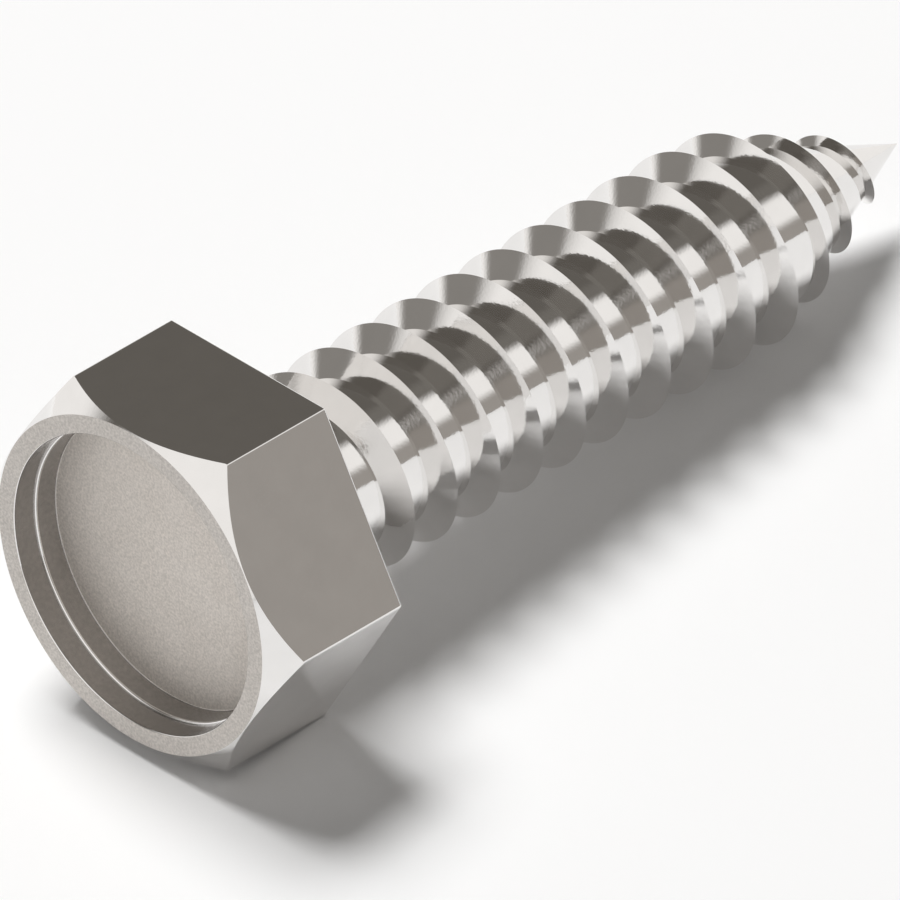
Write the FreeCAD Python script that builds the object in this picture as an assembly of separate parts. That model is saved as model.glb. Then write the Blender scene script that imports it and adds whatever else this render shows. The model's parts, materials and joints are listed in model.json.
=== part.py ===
import FreeCAD
import Part
import math
import os
from FreeCAD import Placement, Rotation, Vector

# Hex head tapping screw, formed and thread-rolled from one piece of stainless steel.
# It is modelled along its own axis: the bearing face is at x = 0, the head lies at
# negative x, the tip is at x = LENGTH, and +Z goes up through the middle of a flat.
# At the end it is laid down as it comes to rest on a table, on the edge of its lowest
# flat and on one crest of its thread, with the origin under the middle of its outline.
# Lengths are millimetres and angles are degrees.

# Hexagon head
ACROSS_FLATS = 13.0
HEAD_HEIGHT = 5.8
CHAMFER_ANGLE = 45.0
RIM_INSET = 0.025
EDGE_ROUND = 0.03

# Stepped recess in the top of the head
RIM_WIDTH = 0.75
RECESS_DEPTH = 1.93
STEP_DEPTH = 0.97
STEP_WIDTH = 0.09
RECESS_ROUND = 0.07
FLOOR_FILLET = 0.15

# Shank and point
LENGTH = 32.0
ROOT_DIAMETER = 6.0
NECK_FILLET = 0.4
POINT_ANGLE = 45.0

# Thread: a right-hand ridge with sharp crests, whose base is buried in the shank.
# The phase is the crest's direction at the bearing face, turned from +Y towards +Z.
THREAD_DIAMETER = 7.86
PITCH = 2.1
THREAD_ANGLE = 60.0
THREAD_PHASE = 187.0
RUN_IN_START = 1.3
RUN_IN_LENGTH = 2.0
TAPER_LENGTH = 8.0
TAPER_ANGLE = 49.4
RUN_OUT_LENGTH = 0.6
RUN_OUT_END = 1.8
BURIED_DEPTH = 0.2
SECTIONS_PER_TURN = 10

FINE_ROUND = 0.2
TOLERANCE = 1e-5
CENTRE = Vector(0, 0, 0)
AXIS = Vector(1, 0, 0)
root_radius = ROOT_DIAMETER / 2
head_top = -HEAD_HEIGHT


def tangent(degrees):
    return math.tan(math.radians(degrees))


def rounded_corner(before, corner, after, radius):
    """Points that round a square corner: a fine round is one short bevel, a larger one two."""
    start = (before - corner).normalize() * radius
    end = (after - corner).normalize() * radius
    centre = corner + start + end
    bevels = 1 if radius < FINE_ROUND else 2
    angles = [math.radians(90 * index / bevels) for index in range(bevels + 1)]
    return [centre - end * math.cos(angle) - start * math.sin(angle) for angle in angles]


def turned(profile):
    """Solid of revolution about the screw's axis, from corners (x, radius, rounding)."""
    corners = [Vector(x, 0, radius) for x, radius, rounding in profile]
    points = []
    for index, corner in enumerate(corners):
        rounding = profile[index][2]
        if rounding:
            points += rounded_corner(corners[index - 1], corner, corners[index + 1], rounding)
        else:
            points.append(corner)
    outline = Part.makePolygon(points + points[:1])
    return Part.Face(outline).revolve(CENTRE, AXIS, 360)


def hexagon_bar():
    """Hexagonal bar as long as the head, with its long edges and bearing edges just broken."""
    corner_radius = ACROSS_FLATS / 2 / math.cos(math.radians(30))
    corners = []
    for index in range(7):
        angle = math.radians(60 * index)
        across = corner_radius * math.cos(angle)
        up = corner_radius * math.sin(angle)
        corners.append(Vector(head_top, across, up))
    bar = Part.Face(Part.makePolygon(corners)).extrude(AXIS * HEAD_HEIGHT)
    broken = [edge for edge in bar.Edges if edge.BoundBox.XMax > -TOLERANCE]
    return bar.makeChamfer(EDGE_ROUND, broken)


def chamfer_cone(rim_radius):
    """Cone that turns off the head's corners, as a spline surface whose edges are splines too."""
    apex_x = head_top - rim_radius * tangent(CHAMFER_ANGLE)
    base_radius = rim_radius + HEAD_HEIGHT / tangent(CHAMFER_ANGLE)
    return turned([(apex_x, 0, 0), (0, base_radius, 0), (0, 0, 0)]).toNurbs()


def head():
    """Chamfered hexagon head with a stepped recess in its top."""
    rim_radius = ACROSS_FLATS / 2 - RIM_INSET
    wall_radius = rim_radius - RIM_WIDTH
    step_radius = wall_radius - STEP_WIDTH
    step_x = head_top + STEP_DEPTH
    floor_x = head_top + RECESS_DEPTH
    above_x = head_top - RIM_WIDTH
    recess = turned([
        (above_x, 0, 0),
        (floor_x, 0, 0),
        (floor_x, step_radius, FLOOR_FILLET),
        (step_x, step_radius, RECESS_ROUND),
        (step_x, wall_radius, 0),
        (head_top, wall_radius, RECESS_ROUND),
        (head_top, rim_radius, 0),
        (above_x, rim_radius, 0),
    ])
    return hexagon_bar().common(chamfer_cone(rim_radius)).cut(recess)


def core_radius(x):
    """Radius of the shank under its thread at a distance from the bearing face."""
    return min(root_radius, (LENGTH - x) * tangent(POINT_ANGLE / 2))


def shank():
    """Round shank and point without the thread, from inside the head to the sharp tip."""
    inside_x = (head_top + RECESS_DEPTH) / 2
    neck_radius = root_radius + 2 * NECK_FILLET
    cone_x = LENGTH - root_radius / tangent(POINT_ANGLE / 2)
    return turned([
        (inside_x, 0, 0),
        (inside_x, neck_radius, 0),
        (0, neck_radius, 0),
        (0, root_radius, NECK_FILLET),
        (cone_x, root_radius, 0),
        (LENGTH, 0, 0),
    ])


def smooth_step(value):
    """Rises smoothly from 0 to 1 while the value does."""
    value = min(max(value, 0), 1)
    return value * value * (3 - 2 * value)


def crest_radius(x):
    """Radius of the crest, which runs in below the head, tapers and runs out on the point."""
    taper = max(0, x - (LENGTH - TAPER_LENGTH)) * tangent(TAPER_ANGLE / 2)
    full = THREAD_DIAMETER / 2 - taper
    run_in = smooth_step((x - RUN_IN_START) / RUN_IN_LENGTH)
    run_out = smooth_step((LENGTH - RUN_OUT_END - x) / RUN_OUT_LENGTH)
    buried = core_radius(x) - BURIED_DEPTH / 2
    return buried + (full - buried) * run_in * run_out


def crest_direction(x):
    angle = math.radians(THREAD_PHASE + 360 * x / PITCH)
    return Vector(0, math.cos(angle), math.sin(angle))


def thread_section(x):
    """Corners of the ridge's section whose crest is at x, from its foot on the head's side."""
    outward = crest_direction(x)
    crest = crest_radius(x)
    base = core_radius(x + PITCH / 2) - BURIED_DEPTH
    half_base = (crest - base) * tangent(THREAD_ANGLE / 2)
    return [
        AXIS * (x - half_base) + outward * base,
        AXIS * x + outward * crest,
        AXIS * (x + half_base) + outward * base,
    ]


def ruled_strip(first, second):
    """Surface swept by a straight line between two rails of the ridge."""
    surface = Part.BSplineSurface()
    surface.buildFromPolesMultsKnots(
        [first.getPoles(), second.getPoles()],
        [2, 2],
        first.getMultiplicities(),
        [0, 1],
        first.getKnots(),
        False,
        False,
        1,
        first.Degree,
    )
    return surface


def thread():
    """The helical ridge as a closed solid, one face to each side and turn."""
    last_x = LENGTH - RUN_OUT_END
    steps = math.ceil((last_x - RUN_IN_START) / PITCH * SECTIONS_PER_TURN)
    stations = [float(step) for step in range(steps + 1)]
    advance = (last_x - RUN_IN_START) / steps
    sections = [thread_section(RUN_IN_START + advance * station) for station in stations]

    rails = []
    for corner in range(3):
        rail = Part.BSplineCurve()
        rail.interpolate(Points=[section[corner] for section in sections], Parameters=stations)
        rails.append(rail)
    faces = []
    for corner in range(3):
        side = ruled_strip(rails[corner], rails[(corner + 1) % 3])
        for start in range(0, steps, SECTIONS_PER_TURN):
            turn = side.copy()
            turn.segment(0, 1, start, min(start + SECTIONS_PER_TURN, steps))
            faces.append(turn.toShape())
    for end in (sections[0], sections[-1]):
        faces.append(Part.Face(Part.makePolygon(end + end[:1])))
    shell = Part.Shell(faces)
    shell.sewShape()
    return Part.Solid(shell)


def resting_tilt():
    """Dip of the tip, when the lowest edge of the head and one crest touch the table."""
    last_x = LENGTH - RUN_OUT_END
    lowest_x = (270 - THREAD_PHASE) / 360 * PITCH
    while lowest_x < RUN_IN_START + RUN_IN_LENGTH:
        lowest_x += PITCH
    tilts = []
    while lowest_x < last_x:
        fall = ACROSS_FLATS / 2 - crest_radius(lowest_x)
        tilts.append(math.degrees(math.atan(fall / (lowest_x + EDGE_ROUND))))
        lowest_x += PITCH
    return min(tilts)


def laid_down(screw):
    """The screw at rest, with the origin on the table under the middle of its outline."""
    tilt = Rotation(Vector(0, 1, 0), resting_tilt())
    rim_radius = ACROSS_FLATS / 2 - RIM_INSET
    rearmost = tilt.multVec(Vector(head_top, 0, -rim_radius))
    foremost = tilt.multVec(Vector(LENGTH, 0, 0))
    lowest = tilt.multVec(Vector(-EDGE_ROUND, 0, -ACROSS_FLATS / 2))
    shift = Vector(-(rearmost.x + foremost.x) / 2, 0, -lowest.z)
    screw.Placement = Placement(shift, tilt)
    print(f"tip dips {resting_tilt():.4f} degrees, bearing face centre at {tuple(shift)}")
    return screw


def main():
    screw = laid_down(head().fuse([shank(), thread()]).Solids[0])
    print(f"valid {screw.isValid()}, faces {len(screw.Faces)}, volume {screw.Volume:.2f}")
    os.makedirs("parts", exist_ok=True)
    screw.exportStep("parts/hex_tapping_screw.step")


main()
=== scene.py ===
import json
import math

import bmesh
import bpy
from mathutils import Matrix, Vector


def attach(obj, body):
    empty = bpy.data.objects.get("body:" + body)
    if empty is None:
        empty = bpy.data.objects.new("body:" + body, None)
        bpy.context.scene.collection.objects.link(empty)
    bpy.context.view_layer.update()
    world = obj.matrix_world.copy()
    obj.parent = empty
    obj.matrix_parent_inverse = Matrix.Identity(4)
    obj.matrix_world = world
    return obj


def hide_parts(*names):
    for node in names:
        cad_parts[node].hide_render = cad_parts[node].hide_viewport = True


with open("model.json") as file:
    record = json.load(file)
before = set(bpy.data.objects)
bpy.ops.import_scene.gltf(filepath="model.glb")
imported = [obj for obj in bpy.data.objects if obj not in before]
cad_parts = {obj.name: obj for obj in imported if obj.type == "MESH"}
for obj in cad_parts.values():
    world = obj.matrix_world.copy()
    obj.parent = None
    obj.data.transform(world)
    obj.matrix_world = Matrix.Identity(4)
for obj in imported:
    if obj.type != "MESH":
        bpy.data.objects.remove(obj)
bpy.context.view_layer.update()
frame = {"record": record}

# The screw is modelled along its own axis in millimetres and degrees: the bearing face is at
# x = 0, the head at negative x, the tip at x = LENGTH, and a flat of the head faces +Z.
# The head's end is a flat rim round a recess with one step in its wall. The chamfer of the
# corners begins at the rim's edge, just inside the flats.
SIDES = 6
ACROSS_FLATS = 13.0
HEAD_HEIGHT = 5.8
RIM_INSET = 0.025
CORNER_ROUND = 0.097
RIM_WIDTH = 0.75
RECESS_DEPTH = 1.93
STEP_DEPTH = 0.97
STEP_WIDTH = 0.09
RECESS_ROUND = 0.07
FLOOR_FILLET = 0.06

LENGTH = 32.0
ROOT_DIAMETER = 6.0
NECK_FILLET = 0.4
POINT_ANGLE = 45.0

# The thread's crest starts buried in the shank and rises out of it from RUN_IN_START on. It
# tapers along the last TAPER_LENGTH at an angle of its own, and has sunk into the point again
# at RUN_OUT_END before the tip.
THREAD_DIAMETER = 7.86
PITCH = 2.1
THREAD_ANGLE = 60.0
THREAD_PHASE = 187.0
RUN_IN_START = 1.3
RUN_IN_LENGTH = 2.0
TAPER_LENGTH = 8.0
TAPER_ANGLE = 49.4
RUN_OUT_LENGTH = 0.6
RUN_OUT_END = 1.8
BURIED_DEPTH = 0.1

# Fineness of the mesh: columns to a turn of the thread and to a flat of the head, and steps
# round a corner and round an edge
COLUMNS = 144
FLAT_COLUMNS = 24
CORNER_STEPS = 6
ROUND_STEPS = 8
# Distance from a rounded edge to the row of points that keeps the face beside it flat
SUPPORT = 0.02
# Least distance from the crest to the feet of its flanks, which it has where it is buried
LEAST_RIDGE = 0.02
# Distance from the tip to the last ring of points
TIP_RING = 0.03
# Points that agree to this many decimals are one.
POINT_DECIMALS = 5
# Faces that meet at a greater angle than this have a sharp edge between them.
SHARP_ANGLE = math.radians(14)

# Finishes of the steel, in the order of the screw's materials, and the finishes of the rows
# that round the rim's inner edge down to the wall and the wall's foot to the recess's floor.
# The last finish is steel darkened to paint the shade and dark reflections of the recess's walls.
SMOOTH, GRAINED, BRIGHT_GRAINED, PAINTED_SHADE = 0, 1, 2, 3
EDGE_FINISHES = [GRAINED] * 3 + [SMOOTH] * 3 + [PAINTED_SHADE] * 3
FILLET_FINISHES = [PAINTED_SHADE] * 5 + [BRIGHT_GRAINED] * 4

MILLIMETRE = 0.001
# Where the thread's mount lies on the axis
THREAD_MOUNT_X = 12.0

side_turn = math.radians(360 / SIDES)
apothem = ACROSS_FLATS / 2
rim_radius = apothem - RIM_INSET
head_top = -HEAD_HEIGHT
neck_x = NECK_FILLET + SUPPORT
root_radius = ROOT_DIAMETER / 2
point_slope = math.tan(math.radians(POINT_ANGLE / 2))
point_start = LENGTH - root_radius / point_slope


class Skin:
    """Collects the faces of a mesh, and joins points that lie in one place."""

    def __init__(self):
        self.points = []
        self.known = {}
        self.faces = []
        self.finishes = []

    def point(self, x, y, z):
        key = tuple(round(value, POINT_DECIMALS) for value in (x, y, z))
        if key not in self.known:
            self.known[key] = len(self.points)
            self.points.append((x, y, z))
        return self.known[key]

    def around(self, x, radius, angle):
        """Point at a radius from the axis. Angles turn from +Y towards +Z."""
        return self.point(x, radius * math.cos(angle), radius * math.sin(angle))

    def ring(self, x, radius, angles):
        """Row of points about the axis, one at each angle."""
        return [self.around(x, radius, angle) for angle in angles]

    def face(self, *corners, finish=SMOOTH):
        kept = [c for i, c in enumerate(corners) if c != corners[i - 1]]
        if len(set(kept)) > 2:
            self.faces.append(kept)
            self.finishes.append(finish)

    def strip(self, first, second, finish=SMOOTH):
        """Quads between two closed rows of the same number of points."""
        for i in range(len(first)):
            j = (i + 1) % len(first)
            self.face(first[i], first[j], second[j], second[i], finish=finish)

    def strips(self, rows):
        """Quads from each row to the next."""
        for first, second in zip(rows, rows[1:]):
            self.strip(first, second)

    def ladder(self, first, second):
        """Triangles between two open rows, each taken at its own pace."""
        i = j = 0
        while i < len(first) - 1 or j < len(second) - 1:
            first_ended = i == len(first) - 1
            second_ended = j == len(second) - 1
            first_behind = (i + 1) * len(second) <= (j + 1) * len(first)
            if second_ended or first_behind and not first_ended:
                self.face(first[i], first[i + 1], second[j])
                i += 1
            else:
                self.face(first[i], second[j + 1], second[j])
                j += 1


skin = Skin()


def core_radius(x):
    """Radius of the shank and its point, without the thread."""
    return min(root_radius, (LENGTH - x) * point_slope)


def smooth_step(value):
    value = min(max(value, 0), 1)
    return value * value * (3 - 2 * value)


def crest_radius(x):
    """Radius of the crest, which runs in below the head, tapers and runs out on the point."""
    taper = max(0, x - (LENGTH - TAPER_LENGTH)) * math.tan(math.radians(TAPER_ANGLE / 2))
    full = THREAD_DIAMETER / 2 - taper
    run_in = smooth_step((x - RUN_IN_START) / RUN_IN_LENGTH)
    run_out = smooth_step((LENGTH - RUN_OUT_END - x) / RUN_OUT_LENGTH)
    buried = core_radius(x) - BURIED_DEPTH
    return buried + (full - buried) * run_in * run_out


def feet(x):
    """Where the two flanks of the ridge whose crest is at x meet the shank or the point."""
    crest = crest_radius(x)
    slope = 1 / math.tan(math.radians(THREAD_ANGLE / 2))
    reach = (crest - root_radius) / slope
    left_on_point = (slope * x - crest + LENGTH * point_slope) / (slope + point_slope)
    right_on_point = (slope * x + crest - LENGTH * point_slope) / (slope - point_slope)
    left = min(x - reach, left_on_point)
    right = max(x + reach, right_on_point)
    if crest <= core_radius(x):
        left = right = x
    return min(left, x - LEAST_RIDGE), max(right, x + LEAST_RIDGE)


def thread_columns():
    """Crest places and angles along the helix, from where it is still buried to its end."""
    last_x = LENGTH - RUN_OUT_END
    count = math.ceil((last_x - RUN_IN_START) / PITCH * COLUMNS)
    places = [RUN_IN_START + PITCH * j / COLUMNS for j in range(count + 1)]
    angles = [math.radians(THREAD_PHASE) + math.tau * x / PITCH for x in places]
    return places, angles


def threaded_shank():
    """Threaded shank and point as one skin that follows the helix. Gives the ring at its neck
    and that ring's angles."""
    places, angles = thread_columns()
    last = len(places) - 1
    tip_x = LENGTH - TIP_RING

    def on_core(x, angle):
        return skin.around(x, core_radius(x), angle)

    rows = []
    for j, (x, angle) in enumerate(zip(places, angles)):
        left, right = feet(x)
        crest = skin.around(x, max(crest_radius(x), core_radius(x)), angle)
        end = feet(places[j + COLUMNS])[0] if j + COLUMNS <= last else tip_x
        crease = min(max(point_start, right), end)
        valley = [(right + crease) / 2, crease, (crease + end) / 2]
        row = [on_core(left, angle), crest, on_core(right, angle)]
        rows.append(row + [on_core(v, angle) for v in valley])
    tips = [on_core(tip_x, angle) for angle in angles]
    neck_angles = angles[:COLUMNS]
    neck = skin.ring(neck_x, root_radius, neck_angles)

    for j in range(last):
        here, after = rows[j], rows[j + 1]
        for i in range(len(here) - 1):
            skin.face(here[i], after[i], after[i + 1], here[i + 1])
        if j + COLUMNS < last:
            skin.face(here[-1], after[-1], rows[j + 1 + COLUMNS][0], rows[j + COLUMNS][0])
        elif j + COLUMNS == last:
            skin.ladder([here[-1]] + rows[last] + [tips[last]], [after[-1], tips[j + 1]])
        else:
            skin.face(here[-1], after[-1], tips[j + 1], tips[j])
    for j in range(COLUMNS - 1):
        skin.face(neck[j], neck[j + 1], rows[j + 1][0], rows[j][0])
    skin.ladder([neck[-1], rows[COLUMNS - 1][0]], [neck[0]] + rows[0] + [rows[COLUMNS][0]])
    apex = skin.point(LENGTH, 0, 0)
    for j in range(last - COLUMNS, last):
        skin.face(tips[j], tips[j + 1], apex)
    return neck, neck_angles


def hexagon_outline():
    """Points of the head's outline with their outward normals, each corner before its side."""
    centre_radius = (apothem - CORNER_ROUND) / math.cos(side_turn / 2)
    half_width = centre_radius * math.sin(side_turn / 2)
    half_angle = math.atan(half_width / apothem)
    inset = SUPPORT / half_width
    shares = [-1, -1 + inset]
    for step in range(1, FLAT_COLUMNS):
        turn = half_angle * (2 * step / FLAT_COLUMNS - 1)
        shares.append(math.tan(turn) * apothem / half_width)
    shares.append(1 - inset)

    outline = []
    for side in range(SIDES):
        middle = math.radians((side + 0.5) * 360 / SIDES)
        corner = middle - side_turn / 2
        centre = Vector((math.cos(corner), math.sin(corner))) * centre_radius
        for step in range(CORNER_STEPS):
            turn = middle - side_turn + side_turn * step / CORNER_STEPS
            normal = Vector((math.cos(turn), math.sin(turn)))
            outline.append((centre + normal * CORNER_ROUND, normal))
        normal = Vector((math.cos(middle), math.sin(middle)))
        along = Vector((-normal.y, normal.x))
        for share in shares:
            outline.append((normal * apothem + along * half_width * share, normal))
    return outline


def quarter():
    """Sine and versine at equal steps from 0 to 90 degrees."""
    turns = [math.pi / 2 * step / ROUND_STEPS for step in range(ROUND_STEPS + 1)]
    return [(math.sin(turn), 1 - math.cos(turn)) for turn in turns]


def recess_profile():
    """(x, radius, finish) down from the rim of the head to the floor of its recess. Each finish
    is that of the surface which begins there."""
    wall_radius = rim_radius - RIM_WIDTH
    step_radius = wall_radius - STEP_WIDTH
    step_x = head_top + STEP_DEPTH
    floor_x = head_top + RECESS_DEPTH
    edge = RECESS_ROUND
    fillet = FLOOR_FILLET
    profile = [
        (head_top, rim_radius, GRAINED),
        (head_top, wall_radius + edge + SUPPORT, GRAINED),
    ]
    for (sine, versine), finish in zip(quarter(), EDGE_FINISHES):
        profile.append((head_top + versine * edge, wall_radius + edge - sine * edge, finish))
    profile += [
        # The walls take the darker steel, which paints their shade.
        (head_top + edge + SUPPORT, wall_radius, PAINTED_SHADE),
        (step_x, wall_radius, SMOOTH),
    ]
    for sine, versine in quarter():
        profile.append((step_x + versine * edge, step_radius + edge - sine * edge, SMOOTH))
    profile += [
        (step_x + edge + SUPPORT, step_radius, PAINTED_SHADE),
        (floor_x - fillet - SUPPORT, step_radius, PAINTED_SHADE),
    ]
    for (sine, versine), finish in zip(quarter(), FILLET_FINISHES):
        profile.append((floor_x - fillet + sine * fillet, step_radius - versine * fillet, finish))
    profile.append((floor_x, step_radius - fillet - SUPPORT, BRIGHT_GRAINED))
    return profile


def head(neck, neck_angles):
    """Hexagon head with rounded edges, its chamfer, its recess and the fillet of the neck."""
    outline = hexagon_outline()
    directions = [math.atan2(p.y, p.x) for p, normal in outline]

    profile = recess_profile()
    recess = [skin.ring(x, radius, directions) for x, radius, finish in profile]
    for i in range(len(recess) - 1):
        skin.strip(recess[i], recess[i + 1], finish=profile[i][2])
    floor_edge = recess[-1]
    floor_centre = skin.point(profile[-1][0], 0, 0)
    for i in range(len(floor_edge)):
        j = (i + 1) % len(floor_edge)
        skin.face(floor_edge[i], floor_edge[j], floor_centre, finish=BRIGHT_GRAINED)

    def side(x_of, inset=0.0):
        """Row of points round the side of the head, one to each point of the outline."""
        row = []
        for p, normal in outline:
            q = p - normal * inset
            row.append(skin.point(x_of(p.length), q.x, q.y))
        return row

    sides = [
        side(lambda radius: head_top + radius - rim_radius),
        side(lambda radius: head_top + radius - rim_radius + SUPPORT),
        side(lambda radius: -CORNER_ROUND - SUPPORT),
    ]
    for sine, versine in quarter():
        x = -CORNER_ROUND + sine * CORNER_ROUND
        sides.append(side(lambda radius: x, versine * CORNER_ROUND))
    sides.append(side(lambda radius: 0, CORNER_ROUND + SUPPORT))
    skin.strips([recess[0]] + sides)

    fillet = [skin.ring(0, root_radius + NECK_FILLET + SUPPORT, neck_angles)]
    for sine, versine in quarter():
        radius = root_radius + NECK_FILLET - sine * NECK_FILLET
        fillet.append(skin.ring(versine * NECK_FILLET, radius, neck_angles))
    skin.strips(fillet + [neck])
    bridge(sides[-1], directions, fillet[0], neck_angles)


def once_round(row, angles):
    """The closed row from its least angle on, and its angles in that order, with one beyond."""
    turned = [angle % math.tau for angle in angles]
    first = turned.index(min(turned))
    return row[first:] + row[:first], sorted(turned) + [math.tau * 2]


def bridge(outer, outer_angles, inner, inner_angles):
    """Flat ring between two closed rows of points whose angles differ."""
    outer, outer_at = once_round(outer, outer_angles)
    inner, inner_at = once_round(inner, inner_angles)
    i = j = 0
    while i < len(outer) or j < len(inner):
        here, there = outer[i % len(outer)], inner[j % len(inner)]
        if outer_at[i] <= inner_at[j]:
            skin.face(here, outer[(i + 1) % len(outer)], there)
            i += 1
        else:
            skin.face(here, inner[(j + 1) % len(inner)], there)
            j += 1


def resting_place():
    """Turns the screw's own millimetres into the frame's metres, from two of its mounts."""
    mounts = {mount["name"]: mount for mount in frame["record"]["mounts"]}
    along = Vector(mounts["thread"]["axis"])
    up = Vector(mounts["drive_flat"]["axis"])
    turn = Matrix((along, up.cross(along), up)).transposed().to_4x4()
    start = Vector(mounts["thread"]["pos_m"]) - along * THREAD_MOUNT_X * MILLIMETRE
    return Matrix.Translation(start) @ turn @ Matrix.Scale(MILLIMETRE, 4)


def build_screw(place):
    neck, neck_angles = threaded_shank()
    head(neck, neck_angles)

    mesh = bpy.data.meshes.new("tapping_screw")
    mesh.from_pydata(skin.points, [], skin.faces)
    mesh.polygons.foreach_set("material_index", skin.finishes)
    shaped = bmesh.new()
    shaped.from_mesh(mesh)
    bmesh.ops.recalc_face_normals(shaped, faces=shaped.faces)
    shaped.transform(place)
    shaped.to_mesh(mesh)
    shaped.free()
    mesh.polygons.foreach_set("use_smooth", [True] * len(mesh.polygons))
    mesh.set_sharp_from_angle(angle=SHARP_ANGLE)
    screw = bpy.data.objects.new("tapping_screw", mesh)
    bpy.context.collection.objects.link(screw)
    return screw


# Nearly all values of a noise lie in this range.
NOISE_RANGE = {"From_Min": 0.3, "From_Max": 0.7}
NOISE_DETAIL = 2.0
# Clouds to the metre in which the gloss varies
GLOSS_SCALE = 700.0
GLOSS_DETAIL = 3.0


class Nodes:
    """Short names for making and linking the nodes of a material or of the world."""

    def __init__(self, owner):
        owner.use_nodes = True
        self.tree = owner.node_tree
        self.tree.nodes.clear()

    def add(self, kind, settings=None, **inputs):
        """Makes a node. Its inputs are given by name, or as i0, i1 and so on by number."""
        node = self.tree.nodes.new(kind)
        for name, value in (settings or {}).items():
            setattr(node, name, value)
        for name, value in inputs.items():
            numbered = name[0] == "i" and name[1:].isdigit()
            key = int(name[1:]) if numbered else name.replace("_", " ")
            if isinstance(value, bpy.types.NodeSocket):
                self.tree.links.new(value, node.inputs[key])
            else:
                node.inputs[key].default_value = value
        return node

    def noise(self, place, scale, detail=NOISE_DETAIL):
        node = self.add("ShaderNodeTexNoise", Vector=place, Scale=scale, Detail=detail)
        return node.outputs["Fac"]

    def remap(self, value, settings=None, **ranges):
        return self.add("ShaderNodeMapRange", settings, Value=value, **ranges).outputs[0]

    def mix(self, share, first, second):
        """Mixes two colours. In this node they are the inputs 6 and 7, and the output 2."""
        node = self.add("ShaderNodeMix", {"data_type": "RGBA"}, i0=share, i6=first, i7=second)
        return node.outputs[2]

    def greater(self, first, second):
        node = self.add("ShaderNodeMath", {"operation": "MAXIMUM"}, i0=first, i1=second)
        return node.outputs[0]


def steel(name, darker, lighter, shade_scale, roughness, relief_scale, relief_height):
    """Stainless steel whose shade and gloss vary a little, with a fine relief. Scales are
    to the metre, and the height is in metres."""
    material = bpy.data.materials.new(name)
    nodes = Nodes(material)
    place = nodes.add("ShaderNodeTexCoord").outputs["Object"]
    share = nodes.remap(nodes.noise(place, shade_scale), **NOISE_RANGE)
    colour = nodes.mix(share, (*darker, 1), (*lighter, 1))
    cloud = nodes.noise(place, GLOSS_SCALE, GLOSS_DETAIL)
    glossiest, dullest = roughness
    gloss = nodes.remap(cloud, To_Min=glossiest, To_Max=dullest, **NOISE_RANGE)
    relief = nodes.noise(place, relief_scale)
    bump = nodes.add("ShaderNodeBump", Strength=1.0, Distance=relief_height, Height=relief)
    shader = nodes.add(
        "ShaderNodeBsdfPrincipled",
        Base_Color=colour,
        Metallic=1.0,
        Roughness=gloss,
        Normal=bump.outputs[0],
    )
    nodes.add("ShaderNodeOutputMaterial", Surface=shader.outputs[0])
    return material


def smooth_steel():
    """Bright rolled stainless steel."""
    return steel(
        "rolled_steel",
        darker=(0.815, 0.802, 0.789),
        lighter=(0.845, 0.832, 0.819),
        shade_scale=900.0,
        roughness=(0.05, 0.09),
        relief_scale=9000.0,
        relief_height=0.0000014,
    )


def grained_steel():
    """The same steel with the fine matt grain of the head's end."""
    return steel(
        "grained_steel",
        darker=(0.46, 0.434, 0.408),
        lighter=(0.64, 0.604, 0.568),
        shade_scale=11000.0,
        roughness=(0.42, 0.5),
        relief_scale=11000.0,
        relief_height=0.000007,
    )


def bright_grained_steel():
    """The brighter grain of the recess's floor."""
    return steel(
        "bright_grained_steel",
        darker=(0.64, 0.606, 0.57),
        lighter=(0.81, 0.766, 0.722),
        shade_scale=11000.0,
        roughness=(0.64, 0.72),
        relief_scale=11000.0,
        relief_height=0.000007,
    )


def painted_shade_steel():
    """Steel darkened to paint shade and dark reflections on the walls of the recess."""
    return steel(
        "recess_wall_painted_shade",
        darker=(0.33, 0.318, 0.306),
        lighter=(0.38, 0.366, 0.352),
        shade_scale=6000.0,
        roughness=(0.16, 0.26),
        relief_scale=9000.0,
        relief_height=0.0000015,
    )


# What the steel reflects above the floor: the azimuth of each soft card, counted from the tip's
# side towards the right of the view, its elevation, its half-width and the softness of its
# edge, all in degrees, and its colour. The room between the cards is dark.
WHITE = (0.985, 0.967, 0.947)
DARK = (0.131, 0.121, 0.108)
CARDS = [
    (165, 28, 47, 13, WHITE),
    (-86, -8, 42, 12, WHITE),
    (-14, -2, 32, 3, WHITE),
    (35, 29, 19, 5, WHITE),
    (84, -5, 41, 6, (0.357, 0.334, 0.309)),
    (-132, 7, 13, 4, (0.26, 0.247, 0.23)),
    (36, 69, 19, 5, (0.2, 0.188, 0.171)),
]
# How much of the room's light fills the shadow on the floor
FILL = 0.32


def direction_to(azimuth, elevation):
    """Direction in the screw's own frame."""
    azimuth, elevation = math.radians(azimuth), math.radians(elevation)
    level = math.cos(elevation)
    return Vector((level * math.cos(azimuth), -level * math.sin(azimuth), math.sin(elevation)))


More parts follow.
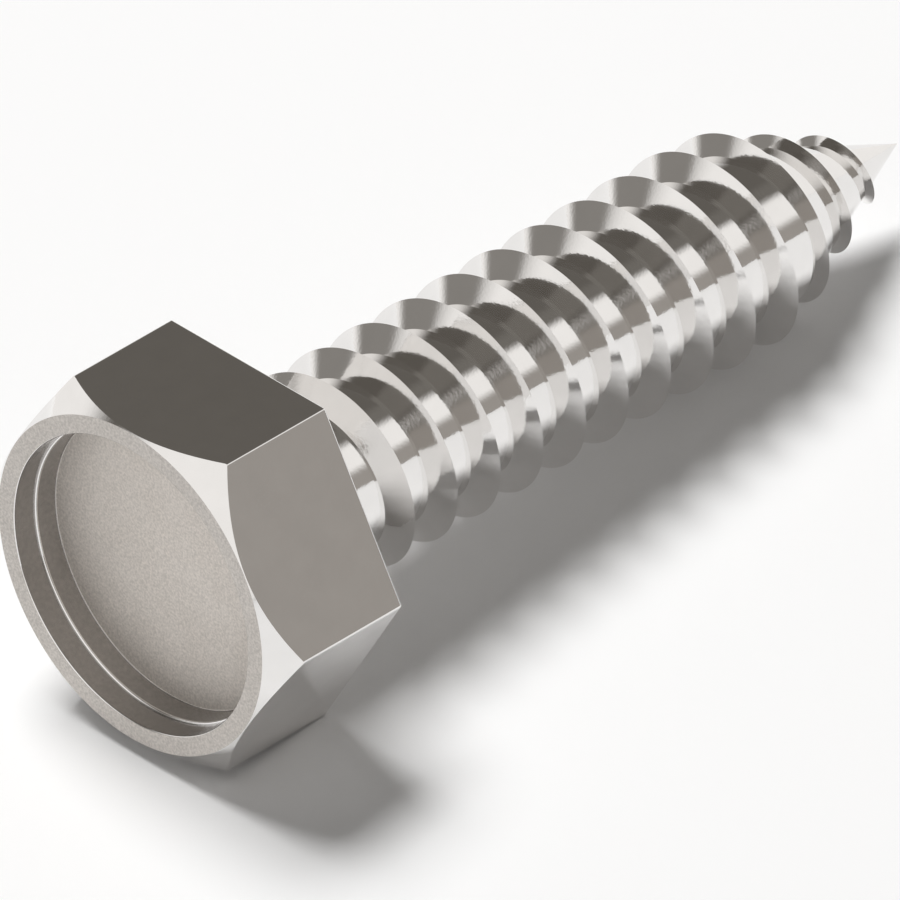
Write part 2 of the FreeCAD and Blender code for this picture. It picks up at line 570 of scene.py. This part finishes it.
def studio(place):
    """A dark room with large soft cards in it."""
    nodes = Nodes(bpy.context.scene.world)
    direction = nodes.add("ShaderNodeTexCoord").outputs["Generated"]
    turn = place.to_3x3().normalized()
    colour = (*DARK, 1)
    for azimuth, elevation, half_width, softness, shade in CARDS:
        aim = turn @ direction_to(azimuth, elevation)
        dot = nodes.add("ShaderNodeVectorMath", {"operation": "DOT_PRODUCT"}, i0=direction, i1=aim)
        share = nodes.remap(
            dot.outputs["Value"],
            {"interpolation_type": "SMOOTHSTEP"},
            From_Min=math.cos(math.radians(half_width + softness)),
            From_Max=math.cos(math.radians(half_width - softness)),
        )
        colour = nodes.mix(share, colour, (*shade, 1))
    path = nodes.add("ShaderNodeLightPath").outputs
    seen = nodes.greater(path["Is Camera Ray"], path["Is Glossy Ray"])
    seen = nodes.greater(seen, path["Is Transmission Ray"])
    strength = nodes.remap(seen, To_Min=FILL, To_Max=1.0)
    background = nodes.add("ShaderNodeBackground", Color=colour, Strength=strength)
    nodes.add("ShaderNodeOutputWorld", Surface=background.outputs[0])


# The lamp's direction in the screw's own frame, its distance and width in metres, and its
# power in watts
KEY_DIRECTION = (0.0, 0.4, 0.92)
KEY_DISTANCE = 3.0
KEY_SIZE = 1.5
KEY_POWER = 85.0


def key_light(place):
    """Round soft box above and behind the screw, which lights the floor."""
    lamp = bpy.data.lights.new("key", "AREA")
    lamp.shape = "DISK"
    lamp.size = KEY_SIZE
    lamp.energy = KEY_POWER
    light = bpy.data.objects.new("key", lamp)
    aim = (place.to_3x3().normalized() @ Vector(KEY_DIRECTION)).normalized()
    light.location = aim * KEY_DISTANCE
    light.rotation_mode = "QUATERNION"
    light.rotation_quaternion = aim.to_track_quat("Z", "Y")
    light.visible_glossy = False
    bpy.context.collection.objects.link(light)


# Metres that the floor reaches to each side
FLOOR_REACH = 1.5
FLOOR_COLOUR = (0.97, 0.97, 0.97)


def pale_floor():
    """Plain matt floor."""
    mesh = bpy.data.meshes.new("floor")
    ends = (-FLOOR_REACH, FLOOR_REACH)
    corners = [(x, y, 0) for y in ends for x in ends]
    mesh.from_pydata(corners, [], [(0, 1, 3, 2)])
    floor = bpy.data.objects.new("floor", mesh)
    bpy.context.collection.objects.link(floor)
    material = bpy.data.materials.new("floor")
    nodes = Nodes(material)
    shader = nodes.add("ShaderNodeBsdfDiffuse", Color=(*FLOOR_COLOUR, 1))
    nodes.add("ShaderNodeOutputMaterial", Surface=shader.outputs[0])
    mesh.materials.append(material)


# The photograph is an isometric view of the screw. The camera keeps that direction in the
# screw's own frame, from far away. The picture's width is in millimetres, and its centre is
# given from the bearing face's centre, in millimetres right, up and towards the camera.
FRAME_WIDTH = 31.28
FRAME_CENTRE = (6.942, 2.313, -6.0)
HALF_ANGLE = math.radians(0.65)
SENSOR_WIDTH = 36.0
CLIP_RATIO = 10


def set_camera(place):
    turn = place.to_3x3().normalized()
    right = turn @ Vector((1, -1, 0)).normalized()
    up = turn @ Vector((1, 1, 2)).normalized()
    back = turn @ Vector((-1, -1, 1)).normalized()
    centre = place @ Vector((0, 0, 0))
    for offset, axis in zip(FRAME_CENTRE, (right, up, back)):
        centre += axis * offset * MILLIMETRE
    distance = FRAME_WIDTH / 2 * MILLIMETRE / math.tan(HALF_ANGLE)
    lens = bpy.data.cameras.new("camera")
    lens.sensor_width = SENSOR_WIDTH
    lens.lens = SENSOR_WIDTH / 2 / math.tan(HALF_ANGLE)
    lens.clip_start = distance / CLIP_RATIO
    lens.clip_end = distance * CLIP_RATIO
    camera = bpy.data.objects.new("camera", lens)
    facing = Matrix((right, up, back)).transposed().to_4x4()
    camera.matrix_world = Matrix.Translation(centre + back * distance) @ facing
    bpy.context.collection.objects.link(camera)
    bpy.context.scene.camera = camera


if bpy.context.scene.world is None:
    bpy.context.scene.world = bpy.data.worlds.new("studio")
bpy.context.scene.view_settings.view_transform = "Standard"

place = resting_place()
screw = build_screw(place)
# The last finish paints shade on the recess's walls as darker steel.
for finish in (smooth_steel, grained_steel, bright_grained_steel, painted_shade_steel):
    screw.data.materials.append(finish())
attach(screw, "root")
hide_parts("hex_tapping_screw")

pale_floor()
studio(place)
key_light(place)
set_camera(place)
